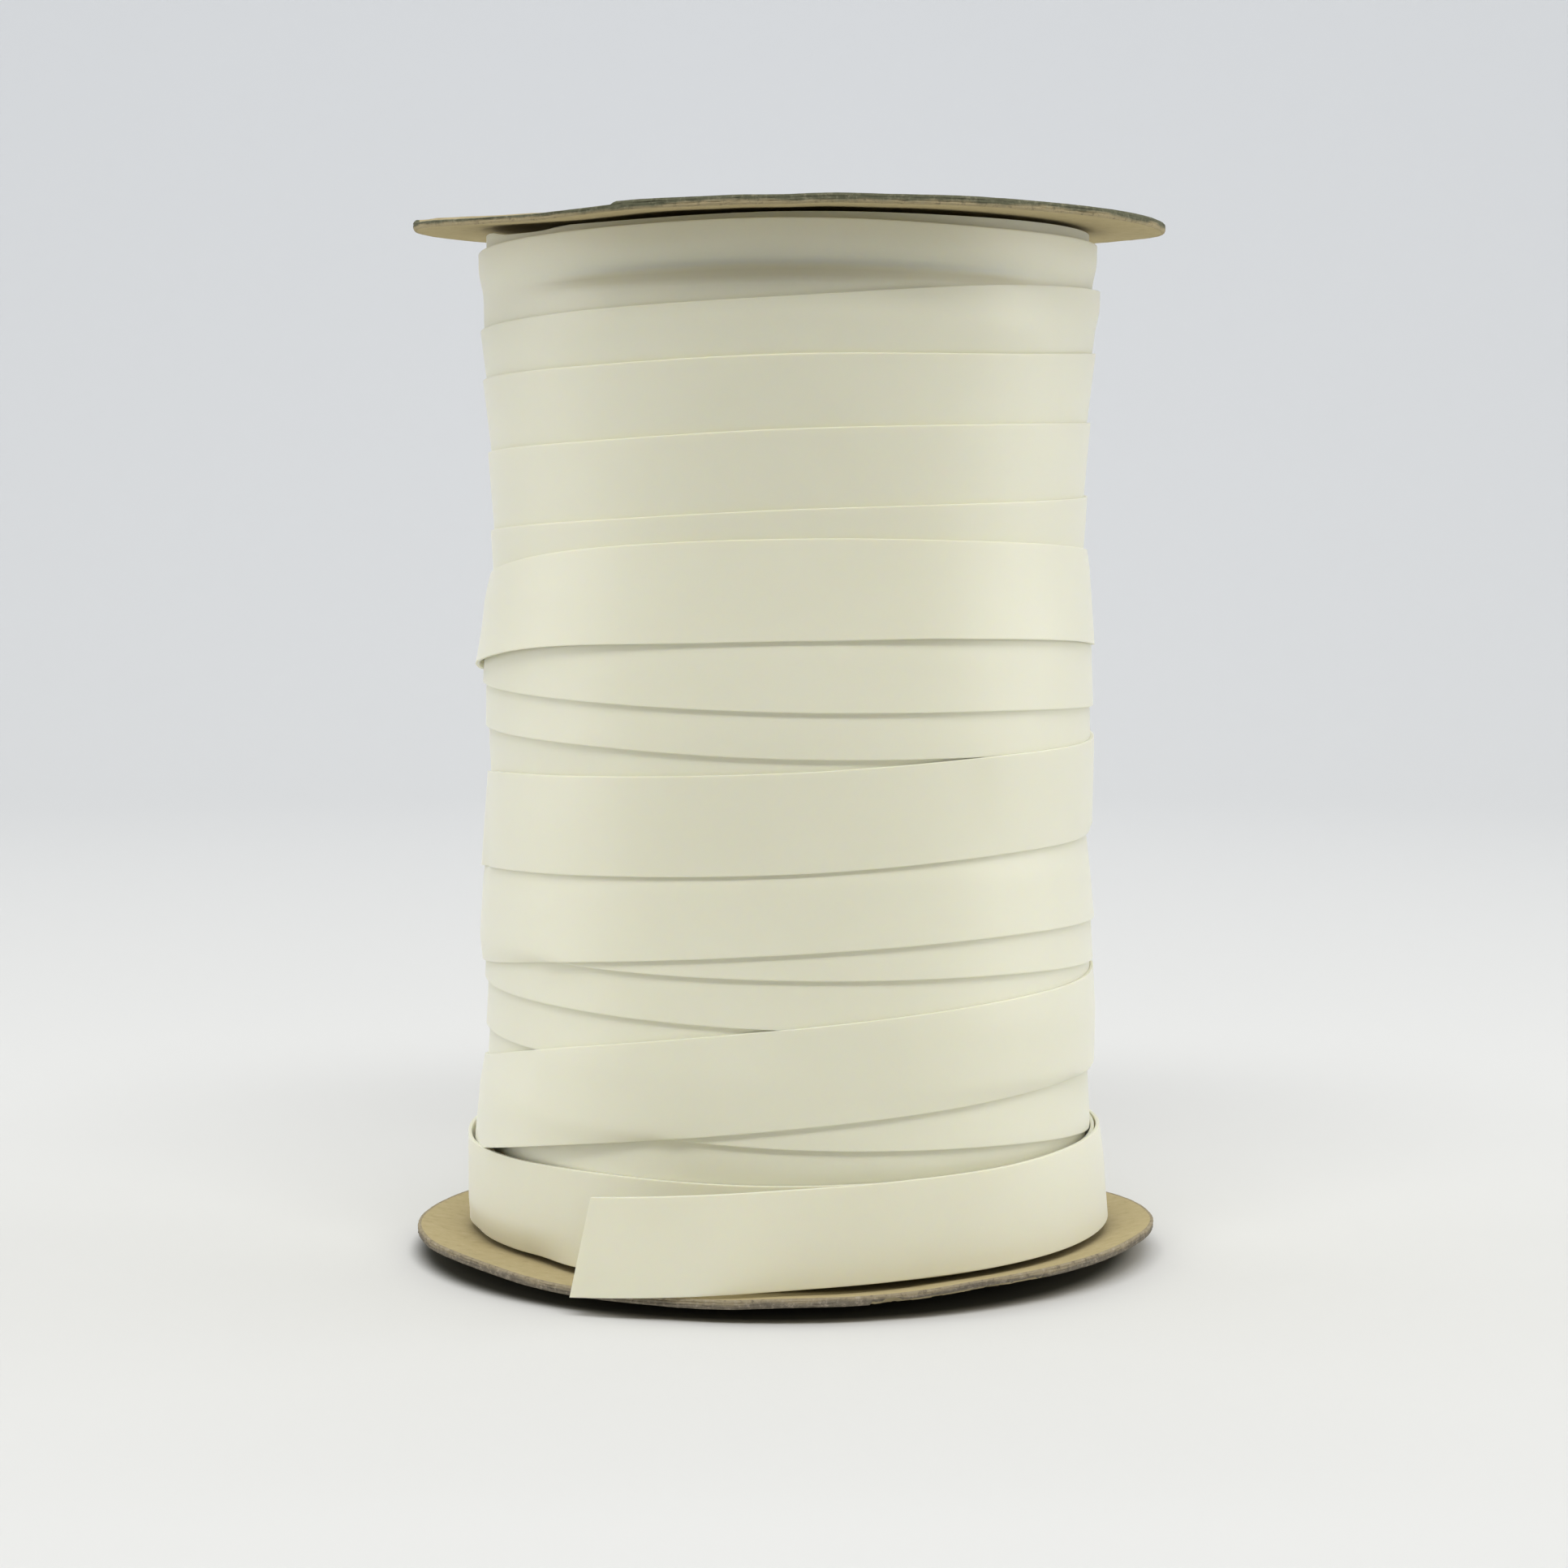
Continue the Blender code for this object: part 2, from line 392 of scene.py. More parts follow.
@dataclass
class WoundTape:
    """The tape on the drum: one long strip laid in the order of winding.

    It starts at a small share of its thickness, so that nothing steps under the first turn, and
    rises to the loose tape over its last degrees.
    """

    winding: Sequence[Knot]
    ply_turns: Sequence[Turn]
    turns_down: Sequence[Turn]
    turns_up: Sequence[Turn]
    covered_turns: int
    pitch_down: float
    lowest_edge: float
    back_end: float
    stations: Sequence[float]
    flares: Sequence[Flare]
    end_radius: float
    end_turned: float
    columns: int = 96
    fine_step: float = 0.25 * MM
    rising: float = 40.0
    thinnest: float = 0.1
    clearance: float = 10.0 * MM
    section: TapeSection = TapeSection()

    def path(self) -> tuple[np.ndarray, np.ndarray]:
        """Follows the tape's lower edge over all the turns that are laid.

        Returns:
            Degrees turned since the right station, and the height of the lower edge in metres.
        """
        covered = [
            Turn(*(max(h - self.pitch_down * n, self.lowest_edge) for h in self.turns_down[-1]))
            for n in range(1, self.covered_turns + 1)
        ]
        turns = [*self.ply_turns, *self.turns_down, *covered, *self.turns_up]
        first = self.stations[0]
        places = [360 * n + first - az for n in range(len(turns)) for az in self.stations]
        heights = [height for turn in turns for height in turn]
        back = places[-1] + 180 + self.stations[-1]
        places.append(back)
        heights.append(self.back_end)
        end = back + self.end_turned
        turned = np.arange(0, end, 360 / self.columns)
        turned[-1] = end
        return turned, smooth_through(places, heights, turned) * MM

    @staticmethod
    def draped(heights: np.ndarray, radii: np.ndarray) -> np.ndarray:
        """How a stiff turn lies over uneven turns: straight across, on their highest places.

        Args:
            heights: Heights across the turn, rising.
            radii: Radii of the surface under it there.

        Returns:
            Radii of the turn's inner face.
        """
        held = [0]
        for k in range(1, len(heights)):
            while len(held) > 1:
                i, j = held[-2], held[-1]
                chord = (radii[k] - radii[i]) * (heights[j] - heights[i])
                if (radii[j] - radii[i]) * (heights[k] - heights[i]) > chord:
                    break
                held.pop()
            held.append(k)
        return np.interp(heights, heights[held], radii[held])

    def mesh(self) -> bpy.types.Mesh:
        """Lays the turns over each other and lofts the strip.

        Returns:
            The mesh of the whole strip.
        """
        z = np.arange(0.0, RIM_TOP + self.clearance, self.fine_step)
        base = through_knots(self.winding, z / MM)
        surface = np.tile(base, (self.columns, 1))
        turned, lower_edges = self.path()
        up, deep = self.section.outline()
        width, thickness = self.section.width, self.section.thickness
        first = self.stations[0]
        sections = []
        for at, lower in zip(turned, lower_edges):
            column = int(round(at * self.columns / 360)) % self.columns
            under = surface[column]
            covered = (z >= lower) & (z <= lower + width)
            laid = self.draped(z[covered], under[covered])
            rise = np.clip((at - (turned[-1] - self.rising)) / self.rising, 0, 1) ** 2
            laid = laid + rise * np.maximum(self.end_radius - laid, 0)
            out, along = flare_offsets(self.flares, at, first, up, width)
            grown = min(1.0, self.thinnest + at / 360)
            radii = np.interp(lower + up, z[covered], laid) + deep * grown + out
            sections.append(on_axis(first - at, radii, lower + up + along, SLIP))
            lifted, _ = flare_offsets(self.flares, at, first, z[covered] - lower, width)
            under[covered] = laid + thickness * grown + lifted
        points = np.array(sections)
        lengths = lengths_along(points[:, 0])
        return Loft(points, lengths, self.section.travelled(up, deep)).mesh("wound_tape")

    def build(self, vinyl: Material) -> bpy.types.Object:
        """Makes the piece, which lies on the drum."""
        return place_piece("wound_tape", self.mesh(), [vinyl], "winding")


@dataclass
class Drum:
    """The turns deep inside the roll: a plain turned form, whose ends fall back at the outside."""

    winding: Sequence[Knot]
    columns: int = 128
    gap: float = 0.3 * MM
    set_back: float = 0.05 * MM
    end_radii: tuple[float, ...] = (0.5, 20, 30, 40, 48, 51, 54, 57, 58.5)
    recess: float = 3.0 * MM
    recess_from: float = 48.0 * MM
    recess_to: float = 57.0 * MM
    mean_radius: float = 60.0 * MM

    def build(self, vinyl: Material, below: "BoardDisc", above: "BoardDisc") -> bpy.types.Object:
        """Makes the piece between the faces of the two discs.

        Args:
            vinyl: Its finish.
            below: The disc under it.
            above: The disc on top of it.

        Returns:
            The piece.
        """
        azimuths = azimuths_round(self.columns)
        side_z, side_r = (np.array(c, float) * MM for c in zip(*self.winding))
        ends = np.array(self.end_radii) * MM
        radii = np.concatenate([ends, side_r - self.set_back, ends[::-1]])
        fallen = np.clip((ends - self.recess_from) / (self.recess_to - self.recess_from), 0, 1)
        clear = self.gap + self.recess * fallen
        low = below.face_height(azimuths, ends[None]) + clear
        high = above.face_height(azimuths, ends[None, ::-1]) - clear[::-1]
        floor = below.face_height(azimuths, side_r[None]) + self.gap + self.recess
        ceiling = above.face_height(azimuths, side_r[None]) - self.gap - self.recess
        side = np.clip(side_z[None], floor, ceiling)
        heights = np.concatenate([low, side, high], axis=1)
        points = on_axis(azimuths, radii[None], heights, SLIP)
        lengths = np.linspace(0, 2 * math.pi * self.mean_radius, self.columns + 1)
        widths = lengths_along(points[0], closed=True)
        mesh = Loft(points, lengths, widths, closed_along=True, sharp=40.0).mesh("drum")
        return place_piece("drum", mesh, [vinyl], "winding")


@dataclass
class LooseTape:
    """The last turn and a half, which stand off the winding and end in a slanting cut."""

    stations: Sequence[Loose]
    flares: Sequence[Flare]
    cut_lean: float
    cut_reach: float
    first: float = 180.0
    step: float = 2.5
    section: TapeSection = TapeSection()

    def build(self, vinyl: Material) -> bpy.types.Object:
        """Args:
            vinyl: Its finish.

        Returns:
            The piece.
        """
        places, heights, radii = (np.array(c, float) for c in zip(*self.stations))
        up, deep = self.section.outline()
        count = int(math.ceil((places[-1] - places[0]) / self.step))
        share = np.linspace(0, 1, count + 1)
        turned = places[0] + share * (places[-1] - places[0])
        leaning = np.clip(1 - (1 - share) / self.cut_reach, 0, 1)
        sections = []
        for at, lean in zip(turned, leaning):
            here = at - self.cut_lean * lean * up / self.section.width
            lower = smooth_through(places, heights, here) * MM
            radius = smooth_through(places, radii, here) * MM
            out, along = flare_offsets(self.flares, at, self.first, up, self.section.width)
            sections.append(on_axis(self.first - here, radius + deep + out, lower + up + along, SLIP))
        points = np.array(sections)
        lengths = lengths_along(points[:, 0])
        mesh = Loft(points, lengths, self.section.travelled(up, deep)).mesh("loose_tape")
        piece = place_piece("loose_tape", mesh, [vinyl], "loose_end")
        LOG.info("loose_tape is %.3f m long", lengths[-1])
        return piece


@dataclass
class BoardDisc:
    """A die cut board disc of three plies, warped, with a rough rim.

    Its dish gives the height of the face towards the winding by radius, and its rim gives the
    height of that face's edge by azimuth, both in mm. A torn ply's ragged line is a sum of
    noises, each by how many columns it reaches over and its size in mm.
    """

    name: str
    node: str
    side: Side
    dish: Sequence[Knot]
    rim: Sequence[Knot]
    tears: Sequence[Tear]
    slip: float
    seed: int
    bend: float
    columns: int = 720
    thickness: float = BOARD
    rim_rows: int = 13
    roughness: float = 0.12 * MM
    groove: float = 0.14 * MM
    crown: float = 0.25 * MM
    flutter: float = 0.03 * MM
    plies: int = 3
    groove_width: float = 0.05
    crown_from: float = 0.6
    groove_change: float = 0.4
    rough_depth: float = 0.6 * MM
    fine_rough: float = 0.6
    wavy_rough: float = 0.5
    torn_from: float = 0.4
    ragged: Sequence[tuple[int, float]] = ((3, 1.2), (14, 2.0))
    tear_ramp: float = 0.6
    tear_step: float = 0.5 * MM
    flat_to: float = 22.0 * MM
    rings: Sequence[float] = (
        0.4, 6, 14, 24, 36, 44, 51, 57, 61, 64, 66.5, 69, 71, 72.5, 73.8, 74.8, 75.5,
    )

    def noise(self, rows: int, reach: int) -> np.ndarray:
        """Seeded noise round the disc, averaged over a few columns, about -1 to 1.

        Args:
            rows: How many rows it has.
            reach: Over how many columns it is averaged.

        Returns:
            An array of columns by rows.
        """
        raw = np.random.default_rng(self.seed + reach).uniform(-1, 1, (self.columns, rows))
        total = sum(np.roll(raw, shift, axis=0) for shift in range(-reach, reach + 1))
        return total / math.sqrt(2 * reach + 1)

    def torn(self, azimuths: np.ndarray, radii: np.ndarray) -> np.ndarray:
        """Works out where the outer ply is torn off.

        Args:
            azimuths: Where it is read, in degrees.
            radii: How far from the axis, in metres.

        Returns:
            How deep it is torn at each point, in metres.
        """
        depth = np.zeros(np.broadcast(azimuths, radii).shape)
        ragged = sum(self.noise(1, reach) * size for reach, size in self.ragged)
        for tear in self.tears:
            middle, half = (tear.start + tear.end) / 2, (tear.end - tear.start) / 2
            place = (azimuths - middle + 180) % 360 - 180
            within = np.clip((half - np.abs(place)) / self.tear_ramp, 0, 1)
            across = np.clip(place / half, -1, 1) / 2 + 0.5
            reach = tear.reach_at_start + across * (tear.reach_at_end - tear.reach_at_start)
            inner = DISC_RADIUS - (reach + ragged) * MM
            reached = np.clip((radii - inner) / self.tear_step, 0, 1)
            depth = np.maximum(depth, tear.depth * MM * within * reached)
        return depth

    def face_height(self, azimuths: np.ndarray, radii: np.ndarray) -> np.ndarray:
        """Height of the face towards the winding.

        Args:
            azimuths: Where it is read, in degrees.
            radii: How far from the axis, in metres.

        Returns:
            Heights in metres.
        """
        places, rises = (np.array(c, float) for c in zip(*self.dish))
        dish = smooth_through(places, rises, radii / MM) * MM
        reached = np.clip((radii - self.flat_to) / (DISC_RADIUS - self.flat_to), 0, 1)
        warped = round_knots(self.rim, azimuths) - rises[-1] * MM
        return dish + warped * reached**self.bend

    def build(self, face: Material, edge: Material) -> bpy.types.Object:
        """Makes the disc.

        Args:
            face: Finish of the two faces.
            edge: Finish of the cut rim and of torn places.

        Returns:
            The piece.
        """
        rim = DISC_RADIUS
        flat = np.array(self.rings) * MM
        rim_share = np.linspace(0, 1, self.rim_rows)
        past = np.clip(np.abs(rim_share - 0.5) * 2 - self.crown_from, 0, 1)
        crown = self.crown * past / (1 - self.crown_from)
        radii = np.concatenate([flat, rim - crown, flat[::-1]])
        share = np.concatenate([np.zeros(len(flat)), rim_share, np.ones(len(flat))])
        azimuths = azimuths_round(self.columns)
        r = np.tile(radii, (self.columns, 1))
        near = self.face_height(azimuths, r)
        away = self.torn(azimuths, r)
        torn = np.clip((share - self.torn_from) / (1 - self.torn_from), 0, 1)
        depth = share * self.thickness - away * torn
        heights = near + self.side.value * depth
        on_rim = np.clip((r - (rim - self.rough_depth)) / self.rough_depth, 0, 1)
        rows = len(radii)
        rough = self.noise(rows, 1) * self.fine_rough + self.noise(1, 5) * self.wavy_rough
        joints = (ply / self.plies for ply in range(1, self.plies))
        grooves = sum(np.exp(-(((share - at) / self.groove_width) ** 2)) for at in joints)
        deep = self.groove * (1 - self.groove_change + self.groove_change * self.noise(1, 9))
        r = r + on_rim * (rough * self.roughness - grooves * deep)
        heights = heights + on_rim * self.noise(rows, 2) * self.flutter
        heights = np.maximum(heights, 0.0)
        points = on_axis(azimuths, r, heights, self.slip)
        widths = lengths_along(points[0], closed=True)
        first_rim, last_rim = len(flat) - 1, len(flat) + self.rim_rows - 1
        widths = widths - widths[first_rim + 1]
        lengths = np.linspace(0, 2 * math.pi * rim, self.columns + 1)
        strips = [1 if first_rim <= row <= last_rim else 0 for row in range(rows)]
        mesh = Loft(points, lengths, widths, closed_along=True, strips=strips).mesh(self.name)
        return place_piece(self.name, mesh, [face, edge], self.node)


def add_node(
    tree: bpy.types.NodeTree, kind: str, values: dict[str, object] | None = None, **options: object
) -> Node:
    """Adds a shader node.

    Args:
        tree: The tree that it goes into.
        kind: Its Blender type.
        values: Values of its sockets by name.
        options: Its own settings.

    Returns:
        The node.
    """
    made = tree.nodes.new(kind)
    for name, value in options.items():
        setattr(made, name, value)
    for name, value in (values or {}).items():
        made.inputs[name].default_value = value
    return made


def wire(tree: bpy.types.NodeTree, *links: tuple[Node, str, Node, str | int]) -> None:
    """Links nodes, each link as a node, its output, the next node and its input."""
    for start, output, end, into in links:
        tree.links.new(start.outputs[output], end.inputs[into])


def new_group(
    name: str, inputs: dict[str, object], outputs: dict[str, str]
) -> tuple[Effect, Node, Node]:
    """Starts a shader node group with its sockets.

    Args:
        name: Name of the group.
        inputs: Default value of each input, a colour where it is a tuple.
        outputs: Kind of each output, Color or Float.

    Returns:
        The group, its input node and its output node.
    """
    group = bpy.data.node_groups.new(name, "ShaderNodeTree")
    for label, value in inputs.items():
        kind = "NodeSocketColor" if isinstance(value, tuple) else "NodeSocketFloat"
        socket = group.interface.new_socket(label, in_out="INPUT", socket_type=kind)
        socket.default_value = value
    for label, kind in outputs.items():
        group.interface.new_socket(label, in_out="OUTPUT", socket_type=f"NodeSocket{kind}")
    return group, group.nodes.new("NodeGroupInput"), group.nodes.new("NodeGroupOutput")


def new_material(name: str, values: dict[str, object]) -> tuple[Material, bpy.types.NodeTree, Node]:
    """Starts a material.

    Args:
        name: Its name.
        values: Values of its shader's sockets by name.

    Returns:
        The material, its tree and its shader.
    """
    made = bpy.data.materials.new(name)
    made.use_nodes = True
    shader = made.node_tree.nodes["Principled BSDF"]
    for label, value in values.items():
        shader.inputs[label].default_value = value
    return made, made.node_tree, shader


def mottle_group() -> Effect:
    """Soft patches of a second colour, by object coordinates.

    Returns:
        The group.
    """
    inputs = {"Colour": (1.0, 1.0, 1.0, 1.0), "Second": (0.5, 0.5, 0.5, 1.0), "Scale": 30.0, "Amount": 0.3}
    group, given, out = new_group("soft_mottle", inputs, {"Colour": "Color"})
    where = add_node(group, "ShaderNodeTexCoord")
    patches = add_node(group, "ShaderNodeTexNoise", {"Detail": 4.0, "Roughness": 0.55})
    shaped = add_node(group, "ShaderNodeMapRange", {"From Min": 0.35, "From Max": 0.7})
    share = add_node(group, "ShaderNodeMath", operation="MULTIPLY")
    mixed = add_node(group, "ShaderNodeMix", data_type="RGBA")
    wire(
        group,
        (where, "Object", patches, "Vector"),
        (given, "Scale", patches, "Scale"),
        (patches, "Fac", shaped, "Value"),
        (shaped, "Result", share, 0),
        (given, "Amount", share, 1),
        (share, "Value", mixed, "Factor"),
        (given, "Colour", mixed, "A"),
        (given, "Second", mixed, "B"),
        (mixed, "Result", out, "Colour"),
    )
    return group


def grain_group() -> Effect:
    """Fine grain as a height, with streaks along the UV map's first direction.

    Returns:
        The group.
    """
    inputs = {"Scale": 900.0, "Streaks": 0.3}
    group, given, out = new_group("fine_grain", inputs, {"Height": "Float"})
    where = add_node(group, "ShaderNodeTexCoord")
    grain = add_node(group, "ShaderNodeTexNoise", {"Detail": 3.0, "Roughness": 0.6})
    lying = add_node(group, "ShaderNodeUVMap", uv_map="tape")
    stretch = add_node(group, "ShaderNodeMapping", {"Scale": (12.0, 900.0, 1.0)})
    streaks = add_node(group, "ShaderNodeTexNoise", {"Scale": 1.0, "Detail": 2.0})
    mixed = add_node(group, "ShaderNodeMix", data_type="FLOAT")
    wire(
        group,
        (where, "Object", grain, "Vector"),
        (given, "Scale", grain, "Scale"),
        (lying, "UV", stretch, "Vector"),
        (stretch, "Vector", streaks, "Vector"),
        (given, "Streaks", mixed, "Factor"),
        (grain, "Fac", mixed, "A"),
        (streaks, "Fac", mixed, "B"),
        (mixed, "Result", out, "Height"),
    )
    return group


def fleck_group() -> Effect:
    """Short fibres and flecks of pulp: a light one and a dark one over a base colour.

    Returns:
        The group.
    """
    inputs = {
        "Colour": (0.5, 0.4, 0.3, 1.0),
        "Light": (0.7, 0.6, 0.5, 1.0),
        "Dark": (0.2, 0.15, 0.1, 1.0),
        "Scale": 700.0,
        "Amount": 0.5,
    }
    group, given, out = new_group("pulp_flecks", inputs, {"Colour": "Color", "Height": "Float"})
    where = add_node(group, "ShaderNodeTexCoord")
    noise = add_node(group, "ShaderNodeTexNoise", {"Detail": 5.0, "Roughness": 0.7})
    wire(
        group,
        (where, "Object", noise, "Vector"),
        (given, "Scale", noise, "Scale"),
        (noise, "Fac", out, "Height"),
    )
    base = (given, "Colour")
    for tone, start, full in (("Light", 0.52, 0.68), ("Dark", 0.46, 0.34)):
        past = add_node(group, "ShaderNodeMapRange", {"From Min": start, "From Max": full})
        share = add_node(group, "ShaderNodeMath", operation="MULTIPLY")
        mixed = add_node(group, "ShaderNodeMix", data_type="RGBA")
        wire(
            group,
            (noise, "Fac", past, "Value"),
            (past, "Result", share, 0),
            (given, "Amount", share, 1),
            (share, "Value", mixed, "Factor"),
            (*base, mixed, "A"),
            (given, tone, mixed, "B"),
        )
        base = (mixed, "Result")
    wire(group, (*base, out, "Colour"))
    return group


def plies_group() -> Effect:
    """Two colours of board through its thickness, from the face towards the winding outwards.

    Returns:
        The group.
    """
    inputs = {"Near": (0.5, 0.4, 0.25, 1.0), "Far": (0.3, 0.25, 0.2, 1.0), "Wander": 1.7}
    group, given, out = new_group("board_plies", inputs, {"Colour": "Color"})
    where = add_node(group, "ShaderNodeTexCoord")
    lying = add_node(group, "ShaderNodeUVMap", uv_map="tape")
    split = add_node(group, "ShaderNodeSeparateXYZ")
    depth = add_node(group, "ShaderNodeMapRange", {"From Max": BOARD}, clamp=False)
    noise = add_node(group, "ShaderNodeTexNoise", {"Scale": 95.0, "Detail": 6.0})
    centred = add_node(group, "ShaderNodeMath", operation="SUBTRACT")
    centred.inputs[1].default_value = 0.5
    wander = add_node(group, "ShaderNodeMath", operation="MULTIPLY_ADD")
    share = add_node(group, "ShaderNodeMapRange", {"From Min": 0.25, "From Max": 0.65})
    mixed = add_node(group, "ShaderNodeMix", data_type="RGBA")
    wire(
        group,
        (lying, "UV", split, "Vector"),
        (split, "Y", depth, "Value"),
        (where, "Object", noise, "Vector"),
        (noise, "Fac", centred, 0),
        (centred, "Value", wander, 0),
        (given, "Wander", wander, 1),
        (depth, "Result", wander, 2),
        (wander, "Value", share, "Value"),
        (share, "Result", mixed, "Factor"),
        (given, "Near", mixed, "A"),
        (given, "Far", mixed, "B"),
        (mixed, "Result", out, "Colour"),
    )
    return group


def place_group(tree: bpy.types.NodeTree, group: Effect, values: dict[str, object]) -> Node:
    """Places a shared effect in a material.

    Args:
        tree: The material's tree.
        group: The effect.
        values: Its own values there, by name.

    Returns:
        The node.
    """
    made = tree.nodes.new("ShaderNodeGroup")
    made.node_tree = group
    for name, value in values.items():
        made.inputs[name].default_value = value
    return made


@dataclass(frozen=True)
class VinylFinish:
    """Plain calendered vinyl: cream, soft sheen, a fine grain and faint streaks along the tape."""

    colour: Colour = (0.828, 0.812, 0.640, 1.0)
    second: Colour = (0.790, 0.774, 0.600, 1.0)
    roughness: float = 0.42
    shine: float = 0.7
    sheen: float = 0.33
    sheen_roughness: float = 0.5
    glow: float = 0.35
    glow_reach: float = 0.8 * MM
    glow_colours: tuple[float, float, float] = (1.0, 0.8, 0.35)
    patch_scale: float = 22.0
    patch_amount: float = 0.7
    grain_scale: float = 1100.0
    streaks: float = 0.35
    bump: float = 0.35
    grain_depth: float = 0.02 * MM

    def material(self, mottle: Effect, grain: Effect) -> Material:
        """Makes the material from the shared effects.

        Args:
            mottle: The effect of soft patches.
            grain: The effect of fine grain.

        Returns:
            The material.
        """
        surface = {
            "Roughness": self.roughness,
            "Specular IOR Level": self.shine,
            "Sheen Weight": self.sheen,
            "Sheen Roughness": self.sheen_roughness,
            "Subsurface Weight": self.glow,
            "Subsurface Radius": self.glow_colours,
            "Subsurface Scale": self.glow_reach,
        }
        tint = {
            "Colour": self.colour,
            "Second": self.second,
            "Scale": self.patch_scale,
            "Amount": self.patch_amount,
        }
        made, tree, shader = new_material("cream_vinyl", surface)
        patches = place_group(tree, mottle, tint)
        fine = place_group(tree, grain, {"Scale": self.grain_scale, "Streaks": self.streaks})
        bump = add_node(tree, "ShaderNodeBump", {"Strength": self.bump, "Distance": self.grain_depth})
        wire(
            tree,
            (patches, "Colour", shader, "Base Color"),
            (fine, "Height", bump, "Height"),
            (bump, "Normal", shader, "Normal"),
        )
        return made


@dataclass(frozen=True)
class BoardFinish:
    """Kraft board: pulp flecks on its faces, or the coarse grey and brown plies of its cut rim."""

    name: str
    near: Colour
    far: Colour
    light: Colour
    dark: Colour
    scale: float
    amount: float
    depth: float
    roughness: float = 0.9
    shine: float = 0.15
    bump: float = 0.6

    def material(self, flecks: Effect, plies: Effect) -> Material:
        """Makes the material from the shared effects.

        Args:
            flecks: The effect of pulp flecks.
            plies: The effect of two colours through the board.

        Returns:
            The material.
        """
        surface = {"Roughness": self.roughness, "Specular IOR Level": self.shine}
        made, tree, shader = new_material(self.name, surface)
        layers = place_group(tree, plies, {"Near": self.near, "Far": self.far})
        values = {"Light": self.light, "Dark": self.dark, "Scale": self.scale, "Amount": self.amount}
        fibres = place_group(tree, flecks, values)
        bump = add_node(tree, "ShaderNodeBump", {"Strength": self.bump, "Distance": self.depth})
        wire(
            tree,
            (layers, "Colour", fibres, "Colour"),
            (fibres, "Colour", shader, "Base Color"),
            (fibres, "Height", bump, "Height"),
            (bump, "Normal", shader, "Normal"),
        )
        return made


class Softbox(NamedTuple):
    """A soft rectangular light in metres and watts, which faces the roll unless it has another aim."""

    name: str
    place: Place
    size: tuple[float, float]
    power: float
    aim: Place = (0.0, 0.0, 0.1)


SOFTBOXES = (
    Softbox("left_light", (-1.0, 0.0, 0.45), (0.9, 0.9), 3.3),
    Softbox("right_light", (1.0, 0.0, 0.45), (0.9, 0.9), 4.0),
    Softbox("high_light", (0.0, -0.75, 1.2), (1.2, 0.3), 9.8),
    Softbox("low_light", (0.0, -1.3, 0.3), (1.6, 0.5), 1.4),
    Softbox("wall_light", (0.0, 0.75, 1.55), (2.0, 0.6), 12.0, aim=(0.0, 1.9, 0.35)),
)


